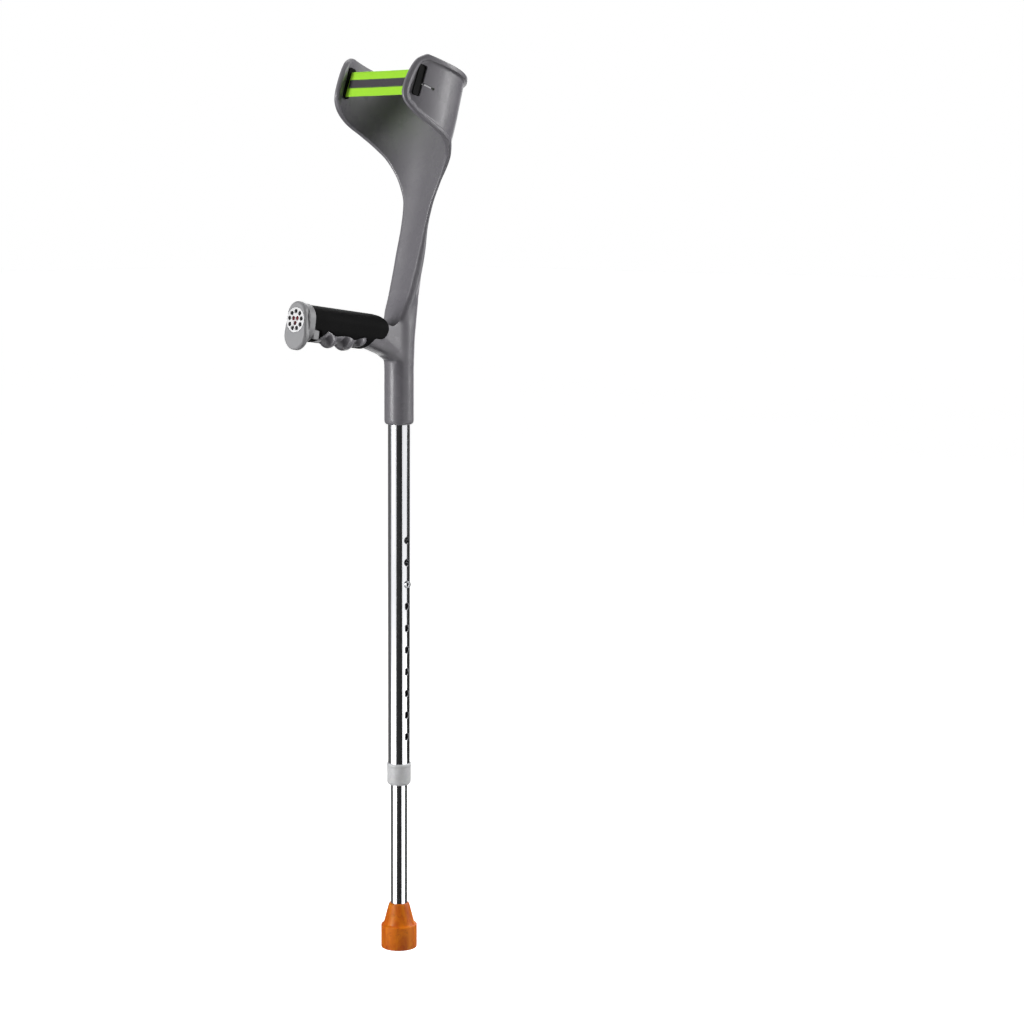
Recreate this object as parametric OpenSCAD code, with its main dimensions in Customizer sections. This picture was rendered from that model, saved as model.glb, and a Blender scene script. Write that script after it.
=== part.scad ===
// Forearm crutch with a moulded cuff, arm and handle, a telescopic leg and a rubber ferrule.
// Millimetres. +Z is up, the handle points along -Y, the height holes face +X.
// The origin is the centre of the ferrule's ground face.

/* [Leg tubes] */
// Outer diameter of the upper tube
outer_d = 25; // [24:0.5:27]
// Wall of the upper tube
outer_wall = 1.3; // [1:0.1:1.6]
// Outer diameter of the sliding lower tube
inner_d = 19; // [17:0.5:20]
// Wall of the lower tube
inner_wall = 1.5; // [1.2:0.1:2]
// Height of the upper tube's lower end above the ground
outer_foot_z = 196; // [190:1:205]
// Height of the upper tube's top end inside the moulding
outer_top_z = 698; // [690:1:700]
// Whole length of the lower tube
inner_len = 431; // [425:1:435]

/* [Height adjustment] */
// Distance between neighbouring height holes
hole_pitch = 25; // [24:0.5:26]
// Number of height holes
hole_count = 10; // [8:1:10]
// Diameter of a height hole
hole_d = 8; // [7:0.2:8.6]
// Height of the lowest hole above the ground
first_hole_z = 248; // [246:1:252]
// Hole that the button sits in, counted from the lowest
set_hole = 8; // [8:1:8]
// Diameter of the domed snap button
button_d = 7.6; // [6.6:0.2:7.6]
// How far the button's dome stands out of the upper tube
button_out = 4.6; // [3:0.2:5]

/* [Ferrule] */
// Height of the rubber ferrule
ferrule_h = 52; // [46:1:60]
// Diameter of the ferrule's tread band
ferrule_d = 41; // [38:1:46]
// Height of the tread band
tread_h = 27; // [22:1:28]
// Diameter of the ferrule's neck
ferrule_neck_d = 24; // [23:0.5:27]

/* [Moulding] */
// Lean of the arm and cuff behind the leg's axis
arm_lean = 16; // [14:1:18]
// Outer diameter of the socket that holds the upper tube
socket_d = 33; // [32:0.5:35]
// Height of the socket's lower end
socket_foot_z = 603; // [600:1:612]
// Height of the narrow neck between arm and cuff
neck_z = 848; // [846:1:850]
// Length of the cuff above the neck
cuff_len = 141; // [139:0.5:142]
// How fast the cuff's top rim drops towards its back, per millimetre
rim_slope = 0.04; // [0.02:0.005:0.08]
// Wall of the cuff
cuff_wall = 4; // [3.6:0.2:4.6]
// How far the rolled lip stands out of the cuff's wall
lip_out = 3; // [2:0.5:3.5]

/* [Handle] */
// Height of the handle's axis where it crosses the leg's axis
handle_z = 702; // [700:0.5:704]
// Upward tilt of the handle
handle_tilt = 7.5; // [6:0.5:9]
// Distance from the leg's axis to the end cap's face
handle_len = 158; // [154:1:160]
// Height of the soft grip
grip_h = 40; // [38:1:41]
// Width of the soft grip
grip_w = 31; // [29:1:33]
// Thickness of the soft grip
grip_wall = 4; // [3.5:0.5:4.5]

/* [Strap] */
// Width of the strap
strap_w = 29; // [26:1:30]
// Thickness of the strap
strap_t = 1.6; // [1.2:0.2:2]

/* [Hidden] */

run_gap = 0.05; // radial clearance of a sliding fit
seat_gap = 0.1; // clearance of a seated part
round_fn = 64;
hull_fn = 32;

outer_r = outer_d / 2;
outer_bore_r = outer_r - outer_wall;
inner_r = inner_d / 2;
inner_bore_r = inner_r - inner_wall;
washer_z = 8;
washer_t = 2;
inner_foot_z = washer_z + washer_t;
inner_top_z = inner_foot_z + inner_len;
button_z = first_hole_z + (set_hole - 1) * hole_pitch;
socket_r = socket_d / 2;

// The cuff and arm share one trough-shaped section: a back half-ellipse and two longer
// front quarters. x is across, f is forwards from the neck and s is along the lean.
trough_a = 60.5;
waist = 4; // how much narrower the trough is below the cuff's flanges
trough_back = 52;
trough_front = 86;
trough_f = 53.5;
rim_peak_f = 95;
rim_bend_s = 80;
neck_y = 32.3;
arm_foot_s = -145.5;
tongue_s = -122; // where the arm's face starts to round off downwards

// Half angle of the trough's edge against s: tongue, arm, neck, flange and rounded top
edge_angle = [
    [tongue_s, 16.6], [-100, 17.8], [-60, 19.4], [-25, 20], [0, 22.4], [14, 28], [29.4, 37.2],
    [47.2, 53], [55.3, 65], [60.4, 75], [64.2, 85.5], [67, 95.5], [71, 106.5], [78, 118.5],
    [86, 125.8], [93, 128], [100, 128.2], [109, 127.5], [118, 126], [127, 123.8], [134, 120.8],
    [cuff_len, 115]
];
// Depth of the arm's rounded back behind its edges against s
arm_bulge = [[arm_foot_s, 13], [-85, 12], [-50, 9], [-24, 3], [0, 1], [14, 0], [cuff_len, 0]];
// Forward bow of the arm's foot against s
arm_bow = [[arm_foot_s, 6], [-125, 4], [-100, 1.2], [-70, 0], [cuff_len, 0]];

// Cubic curve through a list of [t, value] points
function span_of(t, p, i = 0) = i >= len(p) - 2 || t < p[i + 1][0] ? i : span_of(t, p, i + 1);
function slope_at(p, i) =
    let (a = max(i - 1, 0), b = min(i + 1, len(p) - 1))
    (p[b][1] - p[a][1]) / (p[b][0] - p[a][0]);
function curve(t, p) =
    let (i = span_of(t, p), h = p[i + 1][0] - p[i][0], k = (t - p[i][0]) / h)
    let (m0 = slope_at(p, i) * h, m1 = slope_at(p, i + 1) * h)
    p[i][1] * (1 + 2 * k) * (1 - k) * (1 - k) + m0 * k * (1 - k) * (1 - k)
    + p[i + 1][1] * k * k * (3 - 2 * k) + m1 * k * k * (k - 1);
function smooth(k) = let (c = min(max(k, 0), 1)) c * c * (3 - 2 * c);

// Point of the trough at angle phi, off outside its inner face, at station s
function trough(phi, off, s) =
    let (f = trough_f - ((cos(phi) > 0 ? trough_back : trough_front) + off) * cos(phi))
    let (drop = rim_slope * (rim_peak_f - f) * smooth((s - rim_bend_s) / (cuff_len - rim_bend_s)))
    let (a = trough_a - waist * (1 - smooth((s - 35) / 60)))
    [(a + off) * sin(phi), -f - curve(s, arm_bow), s - drop];
// The arm's front face ends in a round tongue above the handle
function edge_phi(s) =
    let (body = curve(max(s, tongue_s), edge_angle))
    let (down = max(tongue_s - s, 0) / (tongue_s - arm_foot_s))
    body * sqrt(max(1 - down * down, 0.01));
function arc_len(deg) = deg * PI / 180 * (trough_a + cuff_wall);
// How fast the edge's arc length grows along s, for true distances from the slanted edge
function edge_run(s) = arc_len(edge_phi(min(s + 1, cuff_len)) - edge_phi(min(s, cuff_len - 1)));
function lip_at(phi, s) =
    let (run = edge_run(s))
    let (side = arc_len(edge_phi(s) - abs(phi)) / sqrt(1 + run * run))
    let (near = min(side, cuff_len - s))
    lip_out * (1 - smooth((near - 4) / 3.5)) * smooth((s - 22) / 30);
function back_off(phi, s) =
    let (q = phi / edge_phi(s))
    cuff_wall + curve(s, arm_bulge) * sqrt(max(1 - q * q, 0)) + lip_at(phi, s);

// One closed ring of the lofted cuff and arm
ring_n = 28;
function ring(s) =
    let (full = edge_phi(s), nose = min(2, full / 3), e = full - nose)
    let (rim = back_off(e, s))
    concat(
        [for (i = [0 : ring_n]) trough(e * (2 * i / ring_n - 1), 0, s)],
        [for (k = [0.15, 0.5, 0.85]) trough(full - nose * abs(2 * k - 1) * 0.45, rim * k, s)],
        [for (i = [ring_n : -1 : 0]) let (a = e * (2 * i / ring_n - 1)) trough(a, back_off(a, s), s)],
        [for (k = [0.85, 0.5, 0.15]) trough(nose * abs(2 * k - 1) * 0.45 - full, rim * k, s)]
    );
stations = concat(
    [for (d = [0.5, 2, 5, 10, 16]) arm_foot_s + d],
    [tongue_s, -105, -85, -70, -55, -42, -30, -20, -10, 0, 8, 16, 23],
    [for (s = [29 : 6 : 53]) s],
    [for (s = [57 : 2 : 75]) s],
    [80, 86, 92, 99, 106, 113, 120, 126, 130],
    [for (d = [8, 6.6, 5.4, 4.2, 2.8, 1.6, 0.7, 0]) cuff_len - d]
);

// Solid through a list of closed rings. Each end is closed by strips across the ring.
module loft(rings) {
    n = len(rings[0]);
    last = len(rings) - 1;
    half = floor((n - 1) / 2);
    strips = [for (j = [0 : half - 1]) let (k = n - 1 - j)
        k - 1 == j + 1 ? [j, j + 1, k] : [j, j + 1, k - 1, k]];
    polyhedron(
        points = [for (r = rings) each r],
        faces = concat(
            strips,
            [for (i = [0 : last - 1]) for (j = [0 : n - 1])
                let (k = (j + 1) % n) [i * n + j, (i + 1) * n + j, (i + 1) * n + k, i * n + k]],
            [for (f = strips) [for (m = [len(f) - 1 : -1 : 0]) last * n + f[m]]]
        ),
        convexity = 8
    );
}

// Frames of the two leaning parts
module in_arm() translate([0, neck_y, neck_z]) rotate([-arm_lean, 0, 0]) children();
module on_handle(t = 0) translate([0, 0, handle_z]) rotate([90 - handle_tilt, 0, 0])
    translate([0, 0, t]) children();

module oval(w, h) {
    hull() {
        for (y = [-1, 1]) translate([0, y * (h - w) / 2]) circle(d = w, $fn = round_fn);
    }
}

module tube(r, bore, z0, z1) {
    translate([0, 0, z0]) difference() {
        cylinder(r = r, h = z1 - z0, $fn = round_fn);
        translate([0, 0, -1]) cylinder(r = bore, h = z1 - z0 + 2, $fn = round_fn);
    }
}

// ---- Moulding ----
core_w = grip_w - 2 * grip_wall - 2 * seat_gap;
core_h = grip_h - 2 * grip_wall - 2 * seat_gap;
root_t = 34; // where the grip's inner end starts, along the handle
root_r = 17.6;
root_low_z = outer_top_z - 34; // where the socket starts to widen into the root
root_mid_z = outer_top_z - 2;
root_top_h = 20; // height of the root's round part above root_mid_z
blend = 0.4; // keeps two joined solids from sharing a face
gusset_t = 50; // where the gusset under the handle's root ends
// Leaning discs that the root body reaches up to: below the neck, behind the leg, radius
arm_discs = [[-104, 7.6, 16.2], [-109, 6.6, 16], [-62, 21, 12.1]];
cap_t = handle_len - 15; // start of the end cap's ring
tube_stop_z = outer_top_z + 3;
// Finger ridges, all on the fingertips' side: place along the handle, radius, height
ridges = [[114.5, 9.5, -14.8], [89, 12, -12.7], [70, 10, -11.5]];
ridge_out = 1; // how far the ridges stand out of the grip's side
nose_t = 45; // centre of the grip's round inner end, along the handle and above its axis
nose_h = 5.8;
nose_r = 13.6;
slot_f = 93;
slot_s = 111;
slot_len = 35;
slot_w = 10;
slot_corner = 2.6;
slot_lean = 5; // how far the slots' lower ends lean forwards, degrees
slit_end_f = 75;
slit_w = 2.4;
slit_s = slot_s - 2.4;
slit_fall = 2; // the slit's outer end lies this far below its slot end

module socket_shell() {
    edge = 5;
    rotate_extrude($fn = round_fn) union() {
        translate([0, socket_foot_z + edge]) square([socket_r, root_mid_z - socket_foot_z - edge]);
        translate([0, socket_foot_z]) square([socket_r - edge, edge + 1]);
        translate([socket_r - edge, socket_foot_z + edge]) circle(r = edge, $fn = 32);
    }
}

module arm_disc(d) translate([0, d[1], neck_z + d[0]]) rotate([-arm_lean, 0, 0])
    cylinder(r = d[2], h = 2, center = true, $fn = hull_fn);

// Body that joins socket, arm and handle
module root_body() {
    hull() {
        translate([0, 0, root_low_z]) cylinder(r = socket_r, h = 2, $fn = hull_fn);
        translate([0, 0, root_mid_z]) cylinder(r = root_r, h = root_top_h, $fn = hull_fn);
    }
    hull() {
        translate([0, 0, root_mid_z - 3])
            cylinder(r = root_r - blend, h = root_top_h + 2, $fn = hull_fn);
        arm_disc(arm_discs[0]);
    }
    hull() {
        arm_disc(arm_discs[1]);
        arm_disc(arm_discs[2]);
    }
    // Handle root above its gusset
    hull() {
        translate([0, 0, root_low_z + 10])
            cylinder(r = root_r - 2, h = 2 * root_top_h + 4, $fn = hull_fn);
        on_handle(root_t) linear_extrude(6) oval(core_w + 6, core_h + 5);
    }
    hull() {
        translate([0, 0, root_low_z + 12])
            cylinder(r = root_r - 5, h = root_top_h + 10, $fn = hull_fn);
        on_handle(gusset_t) linear_extrude(8) translate([0, -1.5]) oval(core_w + 4, core_h);
    }
}

// Room for the grip sleeve, cut out of the root body
module grip_seat() {
    intersection() {
        on_handle(20) linear_extrude(cap_t - 20) oval(grip_w + 4, grip_h + 4);
        across(grip_w + 6) offset(delta = seat_gap) grip_outline();
    }
}

// Window in the grip's underside, over the finger ridges
module window_outline() {
    polygon([[138, -30], [136, -21], [129.2, -13.7], [121.5, -6], [115.3, -8.1], [109.2, -10.7],
        [100, -9.5], [95, -8.8], [89.2, -9.3], [81.5, -12.3], [73.8, -9.4], [67.7, -7.6],
        [63.8, -8], [62.7, -10.5], [64.6, -12.8], [69.2, -16.5], [76.9, -20.5], [79, -30]]);
}

// Side outlines (t along the handle, h up) become prisms across it
module across(w) on_handle(0) rotate([0, -90, 0]) linear_extrude(w, center = true) children();

module finger_ridges() {
    intersection() {
        union() {
            for (g = ridges) on_handle(g[0]) translate([grip_w / 2 + ridge_out - g[1], g[2], 0])
                sphere(r = g[1], $fn = 32);
            on_handle(60) linear_extrude(78) oval(grip_w - 0.6, grip_h - 0.6);
        }
        across(grip_w + 4) offset(delta = -0.3) window_outline();
    }
}

// The core starts with a ramp below the arm's pocket
module handle_core() {
    ramp_drop = 6;
    hull() {
        on_handle(18) linear_extrude(1) translate([0, -ramp_drop]) oval(core_w, core_h - 2 * ramp_drop);
        on_handle(nose_t - nose_r) linear_extrude(2) oval(core_w, core_h);
    }
    on_handle(nose_t - nose_r) linear_extrude(cap_t - nose_t + nose_r + 3) oval(core_w, core_h);
    finger_ridges();
}

// Space in front of the arm's face, which leaves a U-shaped pocket in the root body. Its back
// lies inside the arm's wall.
function pocket_ring(s) =
    let (e = edge_phi(s) - 0.3, inside_wall = 0.6)
    concat(
        [for (i = [0 : 12]) trough(e * (1 - i / 6), inside_wall, s)],
        [for (side = [-1, 1]) trough(side * e, inside_wall, s) - [0, 40, 0]]
    );
module tongue_pocket() {
    rounding = [for (d = [1.2, 2, 3.4, 6, 10, 15, 20]) arm_foot_s + d];
    in_arm() loft([for (s = concat(rounding, [tongue_s, -105, -85, -60, -40, -20, 0])) pocket_ring(s)]);
}

// Frame of the strap slots: x across the cuff, z along the slot
module in_slot() in_arm() translate([0, -slot_f, slot_s]) rotate([-slot_lean, 0, 0]) children();
module slot_bar(inset, x0, len) {
    hull() {
        for (y = [-1, 1], z = [-1, 1])
            translate([x0, y * (slot_w / 2 - slot_corner), z * (slot_len / 2 - slot_corner)])
                rotate([0, 90, 0]) cylinder(r = slot_corner - inset, h = len, $fn = 24);
    }
}

function slit_f(k) = slot_f + k * (slit_end_f - slot_f);

module strap_slots() {
    across_cuff = 140;
    in_slot() slot_bar(0, -across_cuff / 2, across_cuff);
    in_arm() hull() {
        for (k = [0, 1]) translate([0, -slit_f(k), slit_s - k * slit_fall])
            rotate([0, 90, 0]) cylinder(d = slit_w, h = across_cuff, center = true, $fn = 16);
    }
}

module frame_moulding() {
    color([0.49, 0.48, 0.50]) difference() {
        union() {
            in_arm() loft([for (s = stations) ring(s)]);
            difference() {
                union() {
                    root_body();
                    socket_shell();
                }
                tongue_pocket();
                grip_seat();
            }
            handle_core();
        }
        translate([0, 0, socket_foot_z - 1])
            cylinder(r = outer_r + seat_gap, h = tube_stop_z - socket_foot_z + 1, $fn = 96);
        strap_slots();
        on_handle(cap_t - 20) cylinder(d = 3.2, h = 30, $fn = 16);
    }
}

// ---- Grip ----
notch_r = 5.6;
notch_h = -12; // notch centre, from the handle's axis
notch_len = 7;
// Side outline of the sleeve: h up from the handle's axis, t along it
module grip_outline() {
    top = grip_h / 2 + 1;
    difference() {
        union() {
            translate([nose_t, -top]) square([cap_t - nose_t, 2 * top]);
            translate([nose_t, nose_h]) circle(r = nose_r, $fn = 64);
        }
        // Inner end steps back below the axis
        polygon([[20, -7], [49, -7], [51.5, -8.5], [60.5, -22], [60.5, -25], [20, -25]]);
        window_outline();
        // Notches for the cap's side tabs
        translate([cap_t - notch_len, notch_h]) circle(r = notch_r, $fn = 32);
        translate([cap_t - notch_len, notch_h - notch_r]) square([notch_len + 1, 2 * notch_r]);
    }
}

module grip_sleeve() {
    color([0.1, 0.1, 0.1]) intersection() {
        on_handle(0) difference() {
            linear_extrude(handle_len) oval(grip_w, grip_h);
            translate([0, 0, -1]) linear_extrude(handle_len + 2)
                oval(grip_w - 2 * grip_wall, grip_h - 2 * grip_wall);
        }
        across(grip_w + 2) grip_outline();
    }
}

// ---- End cap with its perforated disc ----
disc_d = 27;
disc_t = 1.2;
backing_t = 1.6;
plate_t = 6.4;
disc_rise = 2; // the disc's centre above the handle's axis
pocket_depth = disc_t + backing_t;

// Egg-shaped plate outline, wider below, drawn in by inset
module plate_outline(inset) {
    hull() {
        translate([0, 8.3]) circle(r = 14 - inset, $fn = 48);
        translate([0, -13.3]) circle(r = 16.8 - inset, $fn = 48);
    }
}

module end_cap() {
    ring_len = handle_len - plate_t - cap_t;
    color([0.6, 0.6, 0.61]) on_handle(cap_t) difference() {
        union() {
            linear_extrude(ring_len) oval(grip_w + 2, grip_h + 2);
            hull() {
                translate([0, 0, ring_len]) linear_extrude(plate_t - 2) plate_outline(0);
                translate([0, 0, ring_len]) linear_extrude(plate_t) plate_outline(1.8);
            }
            for (x = [-1, 1]) translate([x * (grip_w / 2 - 1.6), notch_h, -notch_len / 2])
                cube([2.4, 9.6, 8], center = true);
        }
        translate([0, 0, -1]) linear_extrude(ring_len) oval(core_w + 0.2, core_h + 0.2);
        translate([0, disc_rise, ring_len + plate_t - pocket_depth])
            cylinder(d = disc_d + 0.2, h = pocket_depth + 1, $fn = round_fn);
        translate([0, 0, -1]) cylinder(d = 4.4, h = handle_len, $fn = 24);
    }
}

module end_cap_screw() {
    head_z = handle_len - pocket_depth;
    color("silver") on_handle(0) {
        translate([0, 0, head_z - 18]) cylinder(d = 3.1, h = 17.5, $fn = 24);
        translate([0, 0, head_z - 2.6]) cylinder(d = 4.2, h = 2.5, $fn = 24);
    }
}

module reflector_disc() {
    // Rings of holes: count, ring radius, starting angle
    color("white") on_handle(handle_len - disc_t) translate([0, disc_rise, 0]) difference() {
        cylinder(d = disc_d, h = disc_t, $fn = round_fn);
        for (g = [[9, 9.3, 90], [3, 3.4, -90]], i = [0 : g[0] - 1])
            rotate(g[2] + i * 360 / g[0]) translate([g[1], 0, -1])
                cylinder(d = 4, h = disc_t + 2, $fn = 24);
    }
}

module reflector_backing() {
    color([0.35, 0.03, 0.05]) on_handle(handle_len - pocket_depth) translate([0, disc_rise, 0])
        cylinder(d = disc_d, h = backing_t, $fn = round_fn);
}

// ---- Strap ----
anchor_reach = 3; // how far an anchor stands inside the flange
strap_drop = 1.5; // the strap's centre below the slot's centre
// Half the width inside the cuff's front part, f forwards of the neck
function side_x(f) = trough_a * sqrt(1 - pow((f - trough_f) / trough_front, 2));
slot_x = side_x(slot_f);
strap_half = slot_x - anchor_reach + 1.5;
stripe_t = 0.3;

module strap_webbing() {
    color([0.55, 0.9, 0.15]) in_slot() translate([0, 0, -strap_drop])
        cube([2 * strap_half, strap_t, strap_w], center = true);
}

module reflective_stripe() {
    color([0.35, 0.33, 0.35]) in_slot() translate([0, -(strap_t + stripe_t) / 2, -strap_drop])
        cube([2 * (strap_half - 2.2), stripe_t, strap_w / 3], center = true);
}

module strap_anchor(side) {
    depth = cuff_wall + anchor_reach;
    x0 = side > 0 ? slot_x - anchor_reach : -slot_x - cuff_wall;
    color([0.06, 0.06, 0.06]) in_slot() difference() {
        slot_bar(seat_gap, x0, depth);
        translate([0, 0, -strap_drop])
            cube([2 * strap_half + seat_gap, strap_t + seat_gap, strap_w + seat_gap], center = true);
    }
}
module strap_anchor_near() strap_anchor(1);
module strap_anchor_far() strap_anchor(-1);

// White fillers that wedge the anchors in, one in each slit and flush inside the wall
module anchor_wedges() {
    thick = cuff_wall - 1;
    for (side = [-1, 1]) color("white") in_arm() hull() {
        for (k = [0.37, 0.83]) let (f = slit_f(k))
            translate([side * (side_x(f) + cuff_wall / 2), -f, slit_s - k * slit_fall])
                cube([thick, 0.5, slit_w - 4 * seat_gap], center = true);
    }
}

// ---- Leg ----
button_base_x = 4.6; // where the button's flange sits on the spring
module outer_tube() {
    color([0.85, 0.86, 0.88]) difference() {
        tube(outer_r, outer_bore_r, outer_foot_z, outer_top_z);
        for (i = [0 : hole_count - 1]) translate([0, 0, first_hole_z + i * hole_pitch])
            rotate([0, 90, 0]) cylinder(d = hole_d, h = outer_d, $fn = 32);
    }
}

module tube_plug() {
    plug_len = 14;
    color([0.15, 0.15, 0.16]) translate([0, 0, outer_top_z - plug_len]) {
        cylinder(r = outer_bore_r, h = plug_len, $fn = round_fn);
        translate([0, 0, plug_len]) cylinder(r = outer_r, h = 2.5, $fn = round_fn);
    }
}

collar_foot_z = 190;
collar_h = 26;
module anti_rattle_collar() {
    collar_r = outer_r + 1.2;
    lip_h = outer_foot_z - collar_foot_z;
    color([0.85, 0.86, 0.88]) difference() {
        union() {
            translate([0, 0, collar_foot_z])
                cylinder(r1 = collar_r - 1.2, r2 = collar_r, h = 1.5, $fn = round_fn);
            translate([0, 0, collar_foot_z + 1.5]) cylinder(r = collar_r, h = collar_h - 4, $fn = round_fn);
            translate([0, 0, collar_foot_z + collar_h - 2.5])
                cylinder(r = collar_r + 0.5, h = 2.5, $fn = round_fn);
        }
        difference() {
            translate([0, 0, outer_foot_z]) cylinder(r = outer_r, h = collar_h, $fn = round_fn);
            cylinder(r = outer_bore_r, h = outer_foot_z + 9, $fn = round_fn);
        }
        translate([0, 0, collar_foot_z - 1])
            cylinder(r = inner_r + run_gap, h = collar_h + lip_h, $fn = round_fn);
    }
}

module inner_tube() {
    color([0.85, 0.86, 0.88]) difference() {
        tube(inner_r, inner_bore_r, inner_foot_z, inner_top_z);
        translate([0, 0, button_z]) rotate([0, 90, 0]) cylinder(d = hole_d, h = outer_d, $fn = 32);
    }
}

module guide_bushing() {
    sleeve_h = 12;
    color([0.2, 0.2, 0.21]) difference() {
        translate([0, 0, inner_top_z - sleeve_h])
            cylinder(r = outer_bore_r - run_gap, h = sleeve_h + 2, $fn = round_fn);
        translate([0, 0, inner_top_z - sleeve_h - 1])
            cylinder(r = inner_r, h = sleeve_h + 1, $fn = round_fn);
        cylinder(r = inner_bore_r, h = inner_top_z + 5, $fn = round_fn);
    }
}

module snap_button() {
    r = button_d / 2;
    base_x = button_base_x;
    tip_x = outer_r + button_out;
    color([0.8, 0.8, 0.82]) translate([0, 0, button_z]) rotate([0, 90, 0]) {
        translate([0, 0, base_x]) cylinder(r = r, h = tip_x - r - base_x, $fn = 32);
        translate([0, 0, tip_x - r]) sphere(r = r, $fn = 32);
        translate([0, 0, base_x]) cylinder(r = r + 0.7, h = 1.2, $fn = 32);
    }
}

// Leaf spring bent into a narrow V inside the lower tube, one leg under the button
module button_spring() {
    leaf_w = 6;
    leaf_t = 0.8;
    bend_z = button_z - 48;
    wall_x = -6.8;
    bend_r = 3;
    top_z = button_z + 4;
    color([0.55, 0.56, 0.58]) rotate([90, 0, 0]) linear_extrude(leaf_w, center = true) {
        translate([wall_x, bend_z]) square([leaf_t, top_z - bend_z]);
        translate([wall_x + bend_r, bend_z]) difference() {
            circle(r = bend_r, $fn = 32);
            circle(r = bend_r - leaf_t, $fn = 32);
            translate([-bend_r, 0]) square(2 * bend_r);
        }
        polygon([
            [wall_x + 2 * bend_r - leaf_t, bend_z], [wall_x + 2 * bend_r, bend_z],
            [button_base_x, top_z], [button_base_x - leaf_t, top_z]
        ]);
    }
}

// ---- Ferrule ----
module ferrule() {
    neck_r = ferrule_neck_d / 2;
    band_r = ferrule_d / 2;
    cone_r = band_r - 2.6;
    edge = 3;
    groove_r = 13;
    color([0.85, 0.42, 0.08]) rotate_extrude($fn = round_fn) difference() {
        union() {
            polygon([
                [0, 2], [band_r - 0.5, 2], [cone_r, tread_h], [cone_r - 1, tread_h + 4],
                [neck_r, ferrule_h - 2], [neck_r - 1, ferrule_h], [0, ferrule_h]
            ]);
            translate([0, edge]) square([band_r, tread_h - edge - 2]);
            square([band_r - edge, edge]);
            translate([band_r - edge, edge]) circle(r = edge, $fn = 32);
            translate([band_r - 2, tread_h - 2]) circle(r = 2, $fn = 24);
            translate([0, tread_h - 2]) square([band_r - 2, 2]);
        }
        translate([0, inner_foot_z]) square([inner_r, ferrule_h]);
        translate([0, washer_z]) square([inner_r - 0.5, 3]);
        translate([groove_r, -1]) square([2, 3]);
        translate([groove_r - 5, -1]) square([2, 3]);
    }
}

module ferrule_washer() {
    color("silver") difference() {
        translate([0, 0, washer_z]) cylinder(r = inner_r - 0.5, h = washer_t, $fn = round_fn);
        translate([0, 0, washer_z - 1]) cylinder(r = 4, h = washer_t + 2, $fn = 32);
    }
}

frame_moulding();
grip_sleeve();
end_cap();
end_cap_screw();
reflector_disc();
reflector_backing();
strap_webbing();
reflective_stripe();
strap_anchor_near();
strap_anchor_far();
anchor_wedges();
outer_tube();
tube_plug();
anti_rattle_collar();
inner_tube();
guide_bushing();
snap_button();
button_spring();
ferrule();
ferrule_washer();
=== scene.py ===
import math

import bmesh
import bpy
import numpy as np
from mathutils import Matrix, Vector


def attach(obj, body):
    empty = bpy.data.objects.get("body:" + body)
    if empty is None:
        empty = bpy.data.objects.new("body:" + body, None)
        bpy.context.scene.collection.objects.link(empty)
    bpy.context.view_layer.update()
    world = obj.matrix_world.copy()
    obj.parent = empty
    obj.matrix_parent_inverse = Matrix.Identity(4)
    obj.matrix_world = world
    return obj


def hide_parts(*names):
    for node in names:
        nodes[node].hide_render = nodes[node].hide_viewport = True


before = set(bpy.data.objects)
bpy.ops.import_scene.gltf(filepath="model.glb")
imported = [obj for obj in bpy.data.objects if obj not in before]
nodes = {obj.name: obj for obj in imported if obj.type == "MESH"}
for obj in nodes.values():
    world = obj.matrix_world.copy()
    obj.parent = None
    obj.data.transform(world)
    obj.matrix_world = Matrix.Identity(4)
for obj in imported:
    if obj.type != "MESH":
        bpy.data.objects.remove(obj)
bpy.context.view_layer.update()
MM = 0.001

# ---------------------------------------------------------------- sizes, in millimetres
OUTER_R, OUTER_BORE, INNER_R, INNER_BORE = 12.5, 11.2, 9.5, 8.0
FOOT_Z, OUTER_TOP, INNER_FOOT, INNER_TOP = 196.0, 698.0, 10.0, 441.0
HOLES = [248.0 + 25.0 * i for i in range(10)]
HOLE_R, BUTTON_Z = 4.0, 423.0
SOCKET_R, SOCKET_Z = 16.5, 603.0
NECK = Vector((0, 32.3, 848.0))
LEAN, TILT, HANDLE_Z, HANDLE_LEN = math.radians(16), math.radians(7.5), 702.0, 158.0
GRIP_W, GRIP_H, GRIP_WALL = 31.0, 40.0, 4.0
CUFF_WALL, LIP, CUFF_LEN, ARM_FOOT, TONGUE = 4.0, 3.0, 141.0, -145.5, -122.0
A, WAIST, BACK, FRONT, F0, RIM_F, RIM_S, RIM_SLOPE = 60.5, 4.0, 52.0, 86.0, 53.5, 95.0, 80.0, 0.04
SLOT_F, SLOT_S, SLOT_LEN, SLOT_W, SLOT_R, SLOT_LEAN = 93.0, 111.0, 35.0, 10.0, 2.6, math.radians(5)
SLIT_END, SLIT_W, SLIT_S, SLIT_FALL, KEYHOLE_R = 75.0, 2.4, SLOT_S - 2.4, 2.0, 1.5
STRAP_W, STRAP_T, STRAP_DROP, STRAP_SAG, STRIPE_W = 29.0, 1.6, 1.5, 0.5, 10.0

ALONG_X = Matrix.Rotation(math.pi / 2, 4, "Y")
IN_ARM = Matrix.Translation(NECK) @ Matrix.Rotation(-LEAN, 4, "X")
IN_SLOT = IN_ARM @ Matrix.Translation((0, -SLOT_F, SLOT_S)) @ Matrix.Rotation(-SLOT_LEAN, 4, "X")
ON_HANDLE = Matrix.Translation((0, 0, HANDLE_Z)) @ Matrix.Rotation(math.pi / 2 - TILT, 4, "X")

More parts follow.
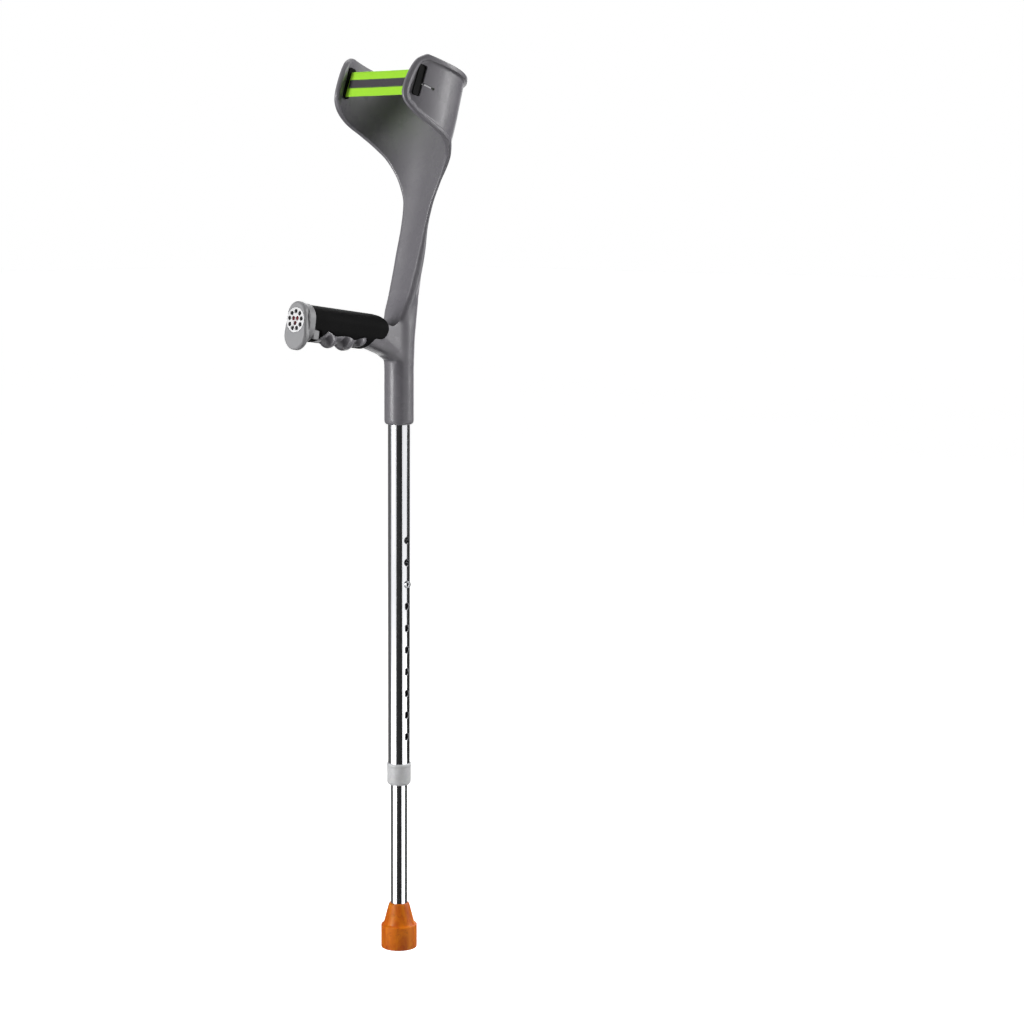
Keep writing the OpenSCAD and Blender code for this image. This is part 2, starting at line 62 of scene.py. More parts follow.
EDGE = [(TONGUE, 16.6), (-100, 17.8), (-60, 19.4), (-25, 20), (0, 22.4), (14, 28), (29.4, 37.2),
        (47.2, 53), (55.3, 65), (60.4, 75), (64.2, 85.5), (67, 95.5), (71, 106.5), (78, 118.5),
        (86, 125.8), (93, 128), (100, 128.2), (109, 127.5), (118, 126), (127, 123.8), (134, 120.8),
        (CUFF_LEN, 115)]
BULGE = [(ARM_FOOT, 13), (-85, 12), (-50, 9), (-24, 3), (0, 1), (14, 0), (CUFF_LEN, 0)]
BOW = [(ARM_FOOT, 6), (-125, 4), (-100, 1.2), (-70, 0), (CUFF_LEN, 0)]


# ---------------------------------------------------------------- the cuff's and arm's surface
def curve(t, p):
    i = 0
    while i < len(p) - 2 and t >= p[i + 1][0]:
        i += 1
    h = p[i + 1][0] - p[i][0]
    k = (t - p[i][0]) / h

    def slope(j):
        a, b = max(j - 1, 0), min(j + 1, len(p) - 1)
        return (p[b][1] - p[a][1]) / (p[b][0] - p[a][0]) * h

    return (p[i][1] * (1 + 2 * k) * (1 - k) ** 2 + slope(i) * k * (1 - k) ** 2
            + p[i + 1][1] * k * k * (3 - 2 * k) + slope(i + 1) * k * k * (k - 1))


def smooth(k):
    k = min(max(k, 0.0), 1.0)
    return k * k * (3 - 2 * k)


def trough(phi, off, s):
    c = math.cos(math.radians(phi))
    f = F0 - ((BACK if c > 0 else FRONT) + off) * c
    drop = RIM_SLOPE * (RIM_F - f) * smooth((s - RIM_S) / (CUFF_LEN - RIM_S))
    a = A - WAIST * (1 - smooth((s - 35) / 60)) + off
    return Vector((a * math.sin(math.radians(phi)), -f - curve(s, BOW), s - drop))


def edge_phi(s):
    down = max(TONGUE - s, 0) / (TONGUE - ARM_FOOT)
    return curve(max(s, TONGUE), EDGE) * math.sqrt(max(1 - down * down, 0.01))


def arc(deg):
    return math.radians(deg) * (A + CUFF_WALL)


def lip_at(phi, s, full, run):
    side = arc(full - abs(phi)) / math.sqrt(1 + run * run)
    near = min(side, CUFF_LEN - s)
    return LIP * (1 - smooth((near - 5.0) / 1.9)) * smooth((s - 22) / 30)


def ring(s):
    """Closed section of the cuff or arm at height s, the inside first and then the back."""
    full = edge_phi(s)
    run = arc(edge_phi(min(s + 1, CUFF_LEN)) - edge_phi(min(s, CUFF_LEN - 1)))
    nose = min(2.0, full / 3)
    e = full - nose
    bulge = curve(s, BULGE)

    def back(phi):
        return (CUFF_WALL + bulge * math.sqrt(max(1 - (phi / full) ** 2, 0))
                + lip_at(phi, s, full, run))

    rim = back(e)
    n = 110
    steps = [(k / 10, nose * math.sqrt(1 - (2 * k / 10 - 1) ** 2)) for k in range(1, 10)]
    angles = [e * (2 * i / n - 1) for i in range(n + 1)]
    points = [trough(a, 0, s) for a in angles]
    points += [trough(e + out, rim * k, s) for k, out in steps]
    points += [trough(a, back(a), s) for a in reversed(angles)]
    points += [trough(-e - out, rim * k, s) for k, out in reversed(steps)]
    return points


# ---------------------------------------------------------------- mesh helpers
def link(name, data):
    """Puts a mesh, light or camera into the scene as an object."""
    obj = bpy.data.objects.new(name, data)
    bpy.context.scene.collection.objects.link(obj)
    return obj


def from_bmesh(name, bm, matrix=None):
    mesh = bpy.data.meshes.new(name)
    bm.to_mesh(mesh)
    bm.free()
    if matrix is not None:
        mesh.transform(matrix)
    return link(name, mesh)


def make(name, verts, faces, matrix=None):
    mesh = bpy.data.meshes.new(name)
    mesh.from_pydata([tuple(v) for v in verts], [], faces)
    if matrix is not None:
        mesh.transform(matrix)
    return link(name, mesh)


def hull(name, points):
    """Convex hull of the points."""
    bm = bmesh.new()
    for p in points:
        bm.verts.new(p)
    out = bmesh.ops.convex_hull(bm, input=bm.verts)
    loose = [g for g in out["geom_interior"] if isinstance(g, bmesh.types.BMVert)]
    bmesh.ops.delete(bm, geom=loose, context="VERTS")
    bmesh.ops.recalc_face_normals(bm, faces=bm.faces)
    return from_bmesh(name, bm)


def loft(name, rings, matrix=None):
    """Skin over rings with the same number of points, with strips across both ends."""
    n, last = len(rings[0]), len(rings) - 1
    verts = [p for r in rings for p in r]
    faces = [[i * n + j, (i + 1) * n + j, (i + 1) * n + (j + 1) % n, i * n + (j + 1) % n]
             for i in range(last) for j in range(n)]
    for base, flip in ((0, False), (last * n, True)):
        for j in range((n - 1) // 2):
            k = n - 1 - j
            f = [j, j + 1, k] if k - 1 == j + 1 else [j, j + 1, k - 1, k]
            faces.append([base + v for v in (reversed(f) if flip else f)])
    return fix_normals(make(name, verts, faces, matrix))


def lathe(name, profile, seg=128, matrix=None):
    """Closed profile of (radius, z) turned about Z. Points on the axis become poles."""
    verts, rows = [], []
    for r, z in profile:
        if r < 1e-6:
            rows.append([len(verts)])
            verts.append((0, 0, z))
        else:
            rows.append(list(range(len(verts), len(verts) + seg)))
            verts += [(r * math.cos(2 * math.pi * i / seg), r * math.sin(2 * math.pi * i / seg), z)
                      for i in range(seg)]
    faces = []
    for a, b in zip(rows, rows[1:] + rows[:1]):
        for i in range(seg):
            j = (i + 1) % seg
            if len(a) == 1 and len(b) > 1:
                faces.append([a[0], b[j], b[i]][::-1])
            elif len(b) == 1 and len(a) > 1:
                faces.append([a[i], a[j], b[0]])
            elif len(a) > 1:
                faces.append([a[i], a[j], b[j], b[i]])
    return fix_normals(make(name, verts, faces, matrix))


def round_profile(points, radius, steps):
    """Closed (r, z) outline with its corners rounded. A corner on the axis is kept."""
    out = []
    n = len(points)
    for i, p in enumerate(points):
        p = Vector(p)
        a, b = Vector(points[i - 1]) - p, Vector(points[(i + 1) % n]) - p
        k = min(radius, a.length * 0.45, b.length * 0.45)
        if p.x < 1e-6 or k < 1e-4 or abs(a.normalized().dot(b.normalized()) + 1) < 1e-4:
            out.append(tuple(p))
            continue
        s, e = p + a.normalized() * k, p + b.normalized() * k
        for m in range(steps + 1):
            t = m / steps
            out.append(tuple((1 - t) ** 2 * s + 2 * t * (1 - t) * p + t * t * e))
    return out


def stadium(w, h, z, n=48):
    """Points of an upright stadium outline at height z."""
    r, d = w / 2, (h - w) / 2
    out = []
    for i in range(n):
        a = 2 * math.pi * i / n
        out.append(Vector((r * math.cos(a), r * math.sin(a) + (d if math.sin(a) >= 0 else -d), z)))
    return out


def circle(r, z, n=96):
    return [Vector((r * math.cos(2 * math.pi * i / n), r * math.sin(2 * math.pi * i / n), z)) for i in range(n)]


def ball(r, centre, n):
    out = []
    for i in range(1, n // 2):
        a = 2 * math.pi * i / n
        out += [Vector(centre) + Vector((r * math.sin(a) * math.cos(2 * math.pi * j / n),
                                         r * math.sin(a) * math.sin(2 * math.pi * j / n),
                                         r * math.cos(a))) for j in range(n)]
    return out + [Vector(centre) + Vector((0, 0, r)), Vector(centre) - Vector((0, 0, r))]


def prism(name, outline, width, matrix):
    """Side outline of (t, h) points along the handle, as a prism across it."""
    n = len(outline)
    verts = [(x, h, t) for x in (-width / 2, width / 2) for t, h in outline]
    faces = [list(range(n)), list(range(2 * n - 1, n - 1, -1))]
    faces += [[i, n + i, n + (i + 1) % n, (i + 1) % n] for i in range(n)]
    return fix_normals(make(name, verts, faces, matrix))


def fix_normals(obj):
    bm = bmesh.new()
    bm.from_mesh(obj.data)
    bmesh.ops.recalc_face_normals(bm, faces=bm.faces)
    bm.to_mesh(obj.data)
    bm.free()
    return obj


def bake(obj):
    """Applies the object's modifiers."""
    depsgraph = bpy.context.evaluated_depsgraph_get()
    mesh = bpy.data.meshes.new_from_object(obj.evaluated_get(depsgraph))
    old = obj.data
    obj.modifiers.clear()
    obj.data = mesh
    mesh.name = old.name
    bpy.data.meshes.remove(old)
    return obj


def combine(obj, others, operation):
    for other in others:
        mod = obj.modifiers.new("b", "BOOLEAN")
        mod.operation, mod.object, mod.solver = operation, other, "MANIFOLD"
    bake(obj)
    for other in others:
        bpy.data.objects.remove(other)
    return obj


def remesh(obj, voxel):
    mod = obj.modifiers.new("r", "REMESH")
    mod.mode, mod.voxel_size = "VOXEL", voxel
    return bake(obj)


def relax(obj, times, weight=None):
    """Smooths the mesh, by weight(x, y, z) arrays where given."""
    mesh = obj.data
    n = len(mesh.vertices)
    co = np.empty(n * 3)
    mesh.vertices.foreach_get("co", co)
    co = co.reshape(-1, 3)
    ed = np.empty(len(mesh.edges) * 2, dtype=np.int64)
    mesh.edges.foreach_get("vertices", ed)
    ed = ed.reshape(-1, 2)
    count = np.maximum(np.bincount(ed.ravel(), minlength=n), 1)
    w = 0.5 if weight is None else (0.5 * weight(co[:, 0], co[:, 1], co[:, 2]))[:, None]
    for _ in range(times):
        mean = np.stack([np.bincount(ed[:, 0], co[ed[:, 1], k], n)
                         + np.bincount(ed[:, 1], co[ed[:, 0], k], n) for k in range(3)], 1)
        co = co + w * (mean / count[:, None] - co)
    mesh.vertices.foreach_set("co", co.ravel())
    mesh.update()
    return obj


def finish_piece(obj, body, mat, stands_for=(), sharp=35):
    obj.data.transform(Matrix.Scale(MM, 4))
    obj.data.shade_smooth()
    obj.data.set_sharp_from_angle(angle=math.radians(sharp))
    obj.data.materials.clear()
    obj.data.materials.append(mat)
    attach(obj, body)
    if stands_for:
        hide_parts(*stands_for)
    return obj


# ---------------------------------------------------------------- materials
class Nodes:
    def __init__(self, name):
        self.mat = bpy.data.materials.new(name)
        self.mat.use_nodes = True
        self.tree = self.mat.node_tree
        self.bsdf = self.tree.nodes["Principled BSDF"]
        self.coord = self.add("ShaderNodeTexCoord")

    def add(self, kind, inputs=None, **props):
        node = self.tree.nodes.new(kind)
        for k, v in props.items():
            setattr(node, k, v)
        for k, v in (inputs or {}).items():
            self.put(node.inputs[k], v)
        return node

    def put(self, socket, value):
        if isinstance(value, bpy.types.NodeSocket):
            self.tree.links.new(value, socket)
        else:
            socket.default_value = value

    def set(self, **values):
        for k, v in values.items():
            self.put(self.bsdf.inputs[k.replace("_", " ")], v)

    def mapped(self, scale=(1, 1, 1), space="Object"):
        return self.add("ShaderNodeMapping", {"Vector": self.coord.outputs[space], "Scale": scale}).outputs[0]

    def noise(self, scale, detail=3.0, rough=0.55, vector=None, distortion=0.0):
        node = self.add("ShaderNodeTexNoise", {"Scale": scale, "Detail": detail, "Roughness": rough,
                                               "Distortion": distortion,
                                               "Vector": vector or self.coord.outputs["Object"]})
        return node.outputs["Fac"]

    def voronoi(self, scale, feature="F1", randomness=1.0):
        node = self.add("ShaderNodeTexVoronoi", {"Scale": scale, "Randomness": randomness,
                                                 "Vector": self.coord.outputs["Object"]},
                        feature=feature)
        return node.outputs["Distance"]

    def math(self, op, a, b=0.0, clamp=False):
        node = self.add("ShaderNodeMath", operation=op, use_clamp=clamp)
        self.put(node.inputs[0], a)
        self.put(node.inputs[1], b)
        return node.outputs[0]

    def remap(self, value, low, high, to_low=0.0, to_high=1.0):
        return self.add("ShaderNodeMapRange", {"Value": value, "From Min": low, "From Max": high,
                                               "To Min": to_low, "To Max": to_high}).outputs[0]

    def mix(self, fac, a, b):
        node = self.add("ShaderNodeMix", data_type="RGBA")
        self.put(node.inputs["Factor"], fac)
        self.put(node.inputs["A"], a if isinstance(a, bpy.types.NodeSocket) else (*a, 1))
        self.put(node.inputs["B"], b if isinstance(b, bpy.types.NodeSocket) else (*b, 1))
        return node.outputs["Result"]

    def bump(self, height, distance, strength):
        node = self.add("ShaderNodeBump", {"Height": height, "Distance": distance, "Strength": strength})
        return node.outputs["Normal"]


def plastic(name, colour, rough=0.4, grain=1.0, worn=None, shine=0.5):
    n = Nodes(name)
    fine = n.noise(2600, 2, 0.6)
    cells = n.voronoi(1500)
    broad = n.noise(18, 4, 0.6)
    flow = n.noise(60, 3, 0.5, n.mapped((1, 1, 0.25)))
    tone = n.remap(n.math("ADD", broad, flow), 0.7, 1.3, 0.93, 1.07)
    dark = tuple(c * 0.92 for c in colour)
    base = n.mix(n.remap(tone, 0.93, 1.07), dark, colour)
    if worn:
        edge = n.add("ShaderNodeNewGeometry").outputs["Pointiness"]
        scuff = n.math("MULTIPLY", n.remap(edge, 0.515, 0.56), n.remap(n.noise(90, 4), 0.35, 0.7))
        base = n.mix(n.math("MULTIPLY", scuff, 0.35, True), base, worn)
    texture = n.math("ADD", n.math("MULTIPLY", fine, 0.7), n.math("MULTIPLY", cells, 0.5))
    rough_map = n.remap(n.math("ADD", n.noise(35, 5), n.math("MULTIPLY", fine, 0.3)), 0.4, 0.9,
                        rough - 0.05, rough + 0.07)
    n.set(Base_Color=base, Roughness=rough_map, Specular_IOR_Level=shine,
          Normal=n.bump(texture, 0.00006 * grain, 0.5))
    return n.mat


def rubber_grip():
    n = Nodes("grip_rubber")
    pores = n.voronoi(1100, feature="SMOOTH_F1")
    fine = n.noise(3000, 3, 0.7)
    broad = n.noise(25, 4, 0.6)
    base = n.mix(n.remap(n.math("ADD", n.math("MULTIPLY", fine, 0.4), broad), 0.5, 0.95),
                 (0.0025, 0.0025, 0.0027), (0.006, 0.006, 0.0062))
    height = n.math("ADD", n.math("MULTIPLY", pores, 1.2), n.math("MULTIPLY", fine, 0.5))
    n.set(Base_Color=base, Roughness=n.remap(broad, 0.3, 0.7, 0.6, 0.74), Specular_IOR_Level=0.05,
          Normal=n.bump(height, 0.00011, 0.6))
    return n.mat


def metal(name, colour=(0.86, 0.87, 0.895), rough=0.1):
    n = Nodes(name)
    drawn = n.noise(900, 3, 0.6, n.mapped((1, 1, 0.012)))
    marks = n.noise(14, 5, 0.62, n.mapped((1, 1, 0.35)))
    specks = n.remap(n.noise(420, 2, 0.5), 0.62, 0.8)
    shade = tuple(c * 0.93 for c in colour)
    base = n.mix(n.remap(marks, 0.3, 0.7), shade, colour)
    r = n.math("ADD", n.remap(marks, 0.3, 0.75, rough - 0.03, rough + 0.05),
               n.math("MULTIPLY", specks, 0.08))
    n.set(Base_Color=base, Metallic=1.0, Roughness=r, Anisotropic=0.25,
          Normal=n.bump(n.math("ADD", drawn, n.math("MULTIPLY", specks, 0.3)), 0.000012, 0.35))
    return n.mat


def orange_rubber():
    n = Nodes("ferrule_rubber")
    streak = n.noise(70, 5, 0.6, n.mapped((1, 1, 0.4)), 1.2)
    cloud = n.noise(160, 4, 0.6)
    amber = n.mix(n.remap(streak, 0.38, 0.66), (0.68, 0.125, 0.001), (0.90, 0.25, 0.003))
    base = n.mix(n.remap(cloud, 0.56, 0.9), amber, (0.45, 0.06, 0.002))
    fine = n.noise(1800, 3, 0.6)
    n.set(Base_Color=base, Roughness=n.remap(cloud, 0.3, 0.7, 0.36, 0.5), Specular_IOR_Level=0.22,
          Subsurface_Weight=0.25, Subsurface_Radius=(0.012, 0.004, 0.001), Subsurface_Scale=1.0,
          Normal=n.bump(n.math("ADD", fine, n.math("MULTIPLY", streak, 0.8)), 0.0001, 0.5))
    return n.mat


def clear_plastic():
    n = Nodes("collar_plastic")
    haze = n.noise(240, 4, 0.6)
    grain = n.voronoi(900)
    base = n.mix(n.remap(haze, 0.35, 0.7), (0.86, 0.87, 0.89), (0.99, 0.99, 0.99))
    n.set(Base_Color=base, Roughness=n.remap(haze, 0.3, 0.7, 0.3, 0.48), IOR=1.49,
          Transmission_Weight=0.2, Subsurface_Weight=0.4, Subsurface_Radius=(0.003, 0.003, 0.003),
          Subsurface_Scale=1.0, Normal=n.bump(n.math("ADD", haze, grain), 0.0002, 0.45))
    return n.mat


def webbing(name, colour, dark, sheen=0.25, rough=0.78, painted_glow=0.0):
    """Plain weave in the strap's own UV, which is in metres along and across, with painted shade between the
    yarns.
    """
    n = Nodes(name)
    uv = n.add("ShaderNodeSeparateXYZ", {"Vector": n.coord.outputs["UV"]})
    u, v = uv.outputs["X"], uv.outputs["Y"]
    pitch = 0.00095
    row = n.math("FLOOR", n.math("DIVIDE", u, pitch))
    shift = n.math("MULTIPLY", n.math("MODULO", row, 2.0), 0.5)
    across = n.math("SUBTRACT", n.math("FRACT", n.math("ADD", n.math("DIVIDE", v, pitch * 1.25), shift)), 0.5)
    along = n.math("SUBTRACT", n.math("FRACT", n.math("DIVIDE", u, pitch)), 0.5)
    rib = n.math("SUBTRACT", 1.0, n.math("ADD", n.math("MULTIPLY", n.math("MULTIPLY", across, across), 2.6),
                                         n.math("MULTIPLY", n.math("MULTIPLY", along, along), 2.2)))
    fibre = n.noise(5200, 2, 0.6, n.mapped((1, 1, 1), "UV"))
    stain = n.noise(45, 4, 0.6)
    # Painted shade: the gaps between the yarns are darker and the crowns take the full colour; real stains
    # darken it further below
    painted_weave_shade = n.mix(n.remap(rib, 0.2, 0.95), dark, colour)
    base = n.mix(n.math("MULTIPLY", n.remap(stain, 0.35, 0.75), 0.16), painted_weave_shade, dark)
    height = n.math("ADD", rib, n.math("MULTIPLY", fibre, 0.35))
    # painted_glow is painted light: a faint emission in the webbing's own colour, so the strap glows though it
    # is no lamp
    n.set(Base_Color=base, Roughness=n.remap(fibre, 0.3, 0.7, rough - 0.08, rough + 0.08),
          Sheen_Weight=sheen, Sheen_Roughness=0.4, Specular_IOR_Level=0.25,
          Emission_Color=(*colour, 1), Emission_Strength=painted_glow,
          Normal=n.bump(height, 0.00025, 0.6))
    return n.mat


def prism_red():
    """Backing behind the disc, painted near-black as painted shade that makes the holes read dark, with a small
    red prism in its middle.
    """
    n = Nodes("reflector_red")
    middle = ON_HANDLE @ Vector((0, 2.6, HANDLE_LEN - 2)) * MM
    away = n.add("ShaderNodeVectorMath", operation="DISTANCE")
    n.put(away.inputs[0], n.coord.outputs["Object"])
    away.inputs[1].default_value = middle
    centre = n.remap(away.outputs["Value"], 0.0035, 0.0062, 1.0, 0.0)
    cells = n.voronoi(620, feature="DISTANCE_TO_EDGE", randomness=0.15)
    red = n.mix(n.remap(cells, 0.0, 0.25), (0.05, 0.002, 0.004), (0.20, 0.008, 0.018))
    # Away from the middle the backing is painted near-black: painted shade in the holes
    base = n.mix(centre, (0.006, 0.005, 0.006), red)
    n.set(Base_Color=base, Roughness=n.remap(n.noise(60, 2), 0.3, 0.7, 0.3, 0.45), Specular_IOR_Level=0.2,
          Normal=n.bump(cells, 0.0004, 0.7))
    return n.mat


GREY = plastic("moulding_grey", (0.205, 0.197, 0.217), 0.27, 0.8, (0.34, 0.335, 0.35), 0.5)
CAP = plastic("cap_grey", (0.335, 0.335, 0.345), 0.42, 0.8, (0.42, 0.42, 0.43), 0.35)
WHITE = plastic("disc_white", (0.86, 0.86, 0.87), 0.28, 0.4)
# The wedges are coloured white as a painted highlight: they stand in for the glint in the slits
WEDGE_GLINT = plastic("wedge_painted_glint", (0.80, 0.80, 0.82), 0.35, 0.5)
BLACK = plastic("anchor_black", (0.004, 0.004, 0.004), 0.6, 0.8, None, 0.06)
INSIDE = plastic("inner_plastic", (0.03, 0.03, 0.032), 0.5, 1.0)
GRIP = rubber_grip()
CHROME = metal("tube_metal")
BUTTON = metal("button_metal", (0.42, 0.43, 0.45), 0.14)
SATIN = metal("bore_metal", (0.80, 0.81, 0.83), 0.42)
STEEL = metal("hardware_steel", (0.52, 0.53, 0.55), 0.3)
ORANGE = orange_rubber()
COLLAR = clear_plastic()
# The neon webbing and its thread carry a small painted glow
NEON = webbing("strap_neon", (0.50, 0.96, 0.05), (0.27, 0.66, 0.02), painted_glow=0.08)
STRIPE = webbing("strap_stripe_grey", (0.085, 0.075, 0.09), (0.035, 0.03, 0.04), 0.15, 0.55)
THREAD = webbing("strap_thread", (0.36, 0.80, 0.05), (0.18, 0.50, 0.02), painted_glow=0.08)
RED = prism_red()


# ---------------------------------------------------------------- moulding
def stations():
    """Heights of the rings, close together at both ends, where the outline turns fast."""
    out = [ARM_FOOT + d for d in (0.5, 0.7, 1.0, 1.4, 2.0, 2.8, 3.8, 5.0, 6.5, 8.0, 10.0, 12.0, 14.0, 16.0)]
    s = ARM_FOOT + 18
    while s < CUFF_LEN - 9:
        out.append(s)
        s += 1.4 if s < 40 else 0.8
    return out + [CUFF_LEN - d for d in (9, 8.2, 7.4, 6.6, 5.8, 5.0, 4.2, 3.4, 2.6, 1.9, 1.3, 0.8, 0.4, 0)]


def arm_disc(dz, y, r):
    """Thin disc across the arm, dz above the neck, as points for a hull."""
    m = Matrix.Translation((0, y, NECK.z + dz)) @ Matrix.Rotation(-LEAN, 4, "X")
    return [m @ p for z in (-1, 1) for p in circle(r, z, 64)]


def pocket_ring(s, depth=0.6, lean=0):
    """Section of the room in front of the arm's inside, which can lean to one side."""
    e = edge_phi(s) - 0.3
    inner = [trough(e * (1 - i / 20), depth, s) for i in range(41)]
    front = Vector((-36 * lean, 40, 0))
    return inner + [trough(-e, depth, s) - front, trough(e, depth, s) - front]


ROOT_LOW, ROOT_MID, ROOT_R = OUTER_TOP - 34, OUTER_TOP - 2, 17.6
ROOT_OUT, ROOT_Z = 22, 712
CORE_W, CORE_H = GRIP_W - 2 * GRIP_WALL - 0.2, GRIP_H - 2 * GRIP_WALL - 0.2
CAP_T = HANDLE_LEN - 15
NOSE_T, NOSE_H, NOSE_R = 45.0, 5.8, 13.6
WINDOW = [(138, -30), (136, -21), (129.2, -13.7), (121.5, -6), (115.3, -8.1), (109.2, -10.7), (100, -9.5),
          (95, -8.8), (89.2, -9.3), (81.5, -12.3), (73.8, -9.4), (67.7, -7.6), (63.8, -8), (62.7, -10.5),
          (64.6, -12.8), (69.2, -16.5), (76.9, -20.5), (79, -30)]
RIDGES = [(114.5, 9.5, -14.8), (89, 12, -12.7), (70, 10, -11.5)]
FOOT_STEPS = [ARM_FOOT + d for d in (1.2, 1.6, 2, 2.6, 3.4, 4.5, 6, 8, 10, 12.5, 15, 18, 21)]


def handle_points(t0, t1, w, h, rise=0.0):
    return [ON_HANDLE @ (p + Vector((0, rise, 0))) for t in (t0, t1) for p in stadium(w, h, t)]


def core_hulls():
    """The core under the grip. Its inner end follows the sleeve's round nose."""
    def start(h):
        return NOSE_T + 0.4 - math.sqrt(max(NOSE_R ** 2 - (h - NOSE_H) ** 2, 0))

    nose = [ON_HANDLE @ Vector((p.x, p.y, start(p.y))) for p in stadium(CORE_W, CORE_H, 0, 96)]
    return [hull("core", nose + handle_points(CAP_T, CAP_T + 3, CORE_W, CORE_H))]


def grip_seat():
    """Room for the grip sleeve's inner end."""
    low, high = math.asin(12.95 / NOSE_R), math.pi / 2
    arc_points = [(NOSE_T - (NOSE_R + 0.15) * math.cos(a), NOSE_H + (NOSE_R + 0.15) * math.sin(a))
                  for a in (high - (high + low) * i / 40 for i in range(41))]
    outline = [(62, 21), (NOSE_T, 21)] + arc_points
    outline += [(49, -7.15), (51.6, -8.6), (60.5, -22), (60.5, -25), (62, -25)]
    seat = prism("seat", outline, GRIP_W + 6, ON_HANDLE)
    return combine(seat, core_hulls(), "DIFFERENCE")


def through_wall(name, placed, spots, side):
    """Cutter through the flange on one side, with a round corner at each (y, z, radius)."""
    return hull(name, [placed @ Matrix.Translation((40 * side, y, z)) @ ALONG_X @ p
                       for y, z, r in spots for x in (-35, 35) for p in circle(r, x, 32)])


def near_root(x, y, z):
    """Weight of the smoothing: 0.8 round the handle's root, 0.3 up the arm, little under the gusset."""
    centre_y = (ON_HANDLE @ Vector((0, 0, ROOT_OUT))).y * 0.5
    d = np.sqrt(x ** 2 + (y - centre_y) ** 2 + ((z - ROOT_Z) * 0.66) ** 2)
    arm = 0.3 * np.clip((z - 715) / 20, 0, 1) * np.clip((842 - z) / 25, 0, 1)
    under = 1 - 0.9 * np.clip((-9 - y) / 6, 0, 1) * np.clip((690 - z) / 12, 0, 1)
    return np.maximum(np.clip((44 - d) / 16, 0, 1) * 0.8 * under, arm)


def build_moulding():
    body = loft("moulding", [ring(s) for s in stations()], IN_ARM)
    root = hull("root", circle(SOCKET_R, ROOT_LOW) + circle(SOCKET_R, ROOT_LOW + 2)
                + circle(ROOT_R, ROOT_MID) + circle(ROOT_R, ROOT_MID + 20))
    parts = [
        hull("root_to_arm", circle(ROOT_R - 0.4, ROOT_MID - 3) + circle(ROOT_R - 0.4, ROOT_MID + 19)
             + arm_disc(-104, 7.6, 16.2)),
        hull("arm_back", arm_disc(-109, 6.6, 16) + arm_disc(-62, 21, 12.1)),
        hull("arm_back_fade", arm_disc(-64, 20.4, 12.2) + arm_disc(-14, 30.6, 1.5)),
        hull("gusset", circle(ROOT_R - 2, ROOT_LOW + 10) + circle(ROOT_R - 2, ROOT_LOW + 54)
             + handle_points(34, 40, CORE_W + 6, CORE_H + 5)),
        hull("gusset_nose", circle(ROOT_R - 5, ROOT_LOW + 12) + circle(ROOT_R - 5, ROOT_LOW + 42)
             + handle_points(50, 58, CORE_W + 4, CORE_H, -1.5)),
        lathe("socket", round_profile([(0, ROOT_MID), (0, SOCKET_Z), (SOCKET_R, SOCKET_Z),
                                       (SOCKET_R, ROOT_MID)], 5, 8)),
    ]
    combine(root, parts, "UNION")
    combine(root, [loft("pocket", [pocket_ring(s) for s in range(-112, 1, 4)], IN_ARM)], "DIFFERENCE")
    ridges = [hull(f"ridge{i}", [ON_HANDLE @ p for p in ball(r, (GRIP_W / 2 + 1 - r, h, t), 48)])
              for i, (t, r, h) in enumerate(RIDGES)]
    ridges.append(hull("filler", handle_points(60, 138, GRIP_W - 0.6, GRIP_H - 0.6)))
    knuckles = combine(ridges[0], ridges[1:], "UNION")
    combine(knuckles, [prism("window", WINDOW, GRIP_W + 4, ON_HANDLE)], "INTERSECT")
    combine(body, [root, knuckles] + core_hulls(), "UNION")
    remesh(body, 0.8)
    relax(body, 2)
    relax(body, 90, near_root)
    # The pocket's round foot and the grip's seat are cut crisp after the smoothing
    cuts = []
    foot_heights = FOOT_STEPS + list(range(-121, -89, 4))
    for lean in (-1, 0, 1):
        foot = [pocket_ring(s, 0.5 - smooth((s + 112) / 22), lean) for s in foot_heights]
        cuts.append(combine(loft("pocket", foot, IN_ARM), core_hulls(), "DIFFERENCE"))
    bore = lathe("bore", [(0, OUTER_TOP + 3), (0, SOCKET_Z - 2), (OUTER_R + 0.1, SOCKET_Z - 2),
                          (OUTER_R + 0.1, OUTER_TOP + 3)])
    cuts += [grip_seat(), bore]
    corners = [(y * (SLOT_W / 2 - SLOT_R), z * (SLOT_LEN / 2 - SLOT_R), SLOT_R)
               for y in (-1, 1) for z in (-1, 1)]
    end = (-SLIT_END, SLIT_S - SLIT_FALL)
    for side in (-1, 1):
        cuts.append(through_wall("slot", IN_SLOT, corners, side))
        cuts.append(through_wall("slit", IN_ARM, [(-SLOT_F, SLIT_S, SLIT_W / 2), (*end, SLIT_W * 0.4)], side))
        cuts.append(through_wall("keyhole", IN_ARM, [(*end, KEYHOLE_R)], side))
    combine(body, cuts, "DIFFERENCE")
    return finish_piece(body, "upper", GREY, ["frame_moulding"], 40)


def softened(name, node, voxel, times, mat):
    """A CAD node's shape with its corners rounded over."""
    mesh = nodes[node].data.copy()
    mesh.name = name
    obj = link(name, mesh)
    mesh.transform(Matrix.Scale(1 / MM, 4))
    remesh(obj, voxel)
    relax(obj, times)
    return finish_piece(obj, "upper", mat, [node], 180)


# ---------------------------------------------------------------- leg
BUTTON_R, BUTTON_BASE, BUTTON_TIP = 3.8, 4.6, OUTER_R + 4.6
COLLAR_Z, COLLAR_H, COLLAR_R = 191.4, 24.6, OUTER_R + 1.2
BAND_R, FERRULE_NECK_R = 20.5, 12.0


